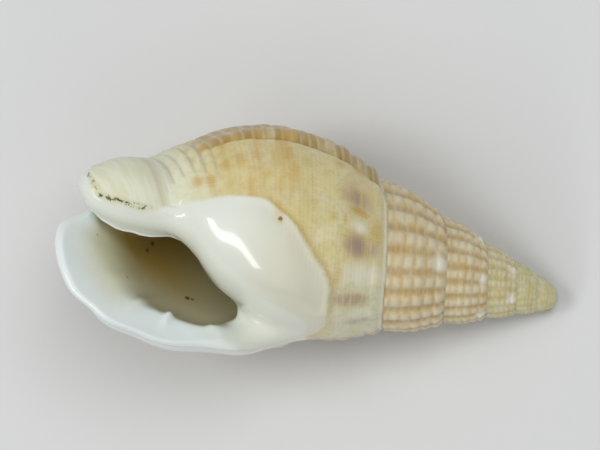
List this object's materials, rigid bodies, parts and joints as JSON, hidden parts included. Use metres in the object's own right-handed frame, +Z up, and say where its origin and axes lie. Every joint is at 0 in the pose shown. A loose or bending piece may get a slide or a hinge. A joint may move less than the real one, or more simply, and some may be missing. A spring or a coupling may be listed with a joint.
{
  "type": "netted dog whelk shell",
  "caption": "Small spired sea snail shell with ribbed and corded whorls, a toothed oval aperture and a thick white lip, lying on its back.",
  "frame": {"origin": "centre of the bounding box at its base, on the surface that the shell rests on", "axes": "+X towards the apex, +Z up out of the aperture, and the outer lip on the -Y side"},
  "size_m": [0.0286, 0.0146, 0.0128],
  "materials": {
    "shell": "cream and tan shell with golden brown and lilac marks, and a glossy white lip and callus"
  },
  "bodies": {
    "root": {"shell": "shell"}
  },
  "joints": []
}
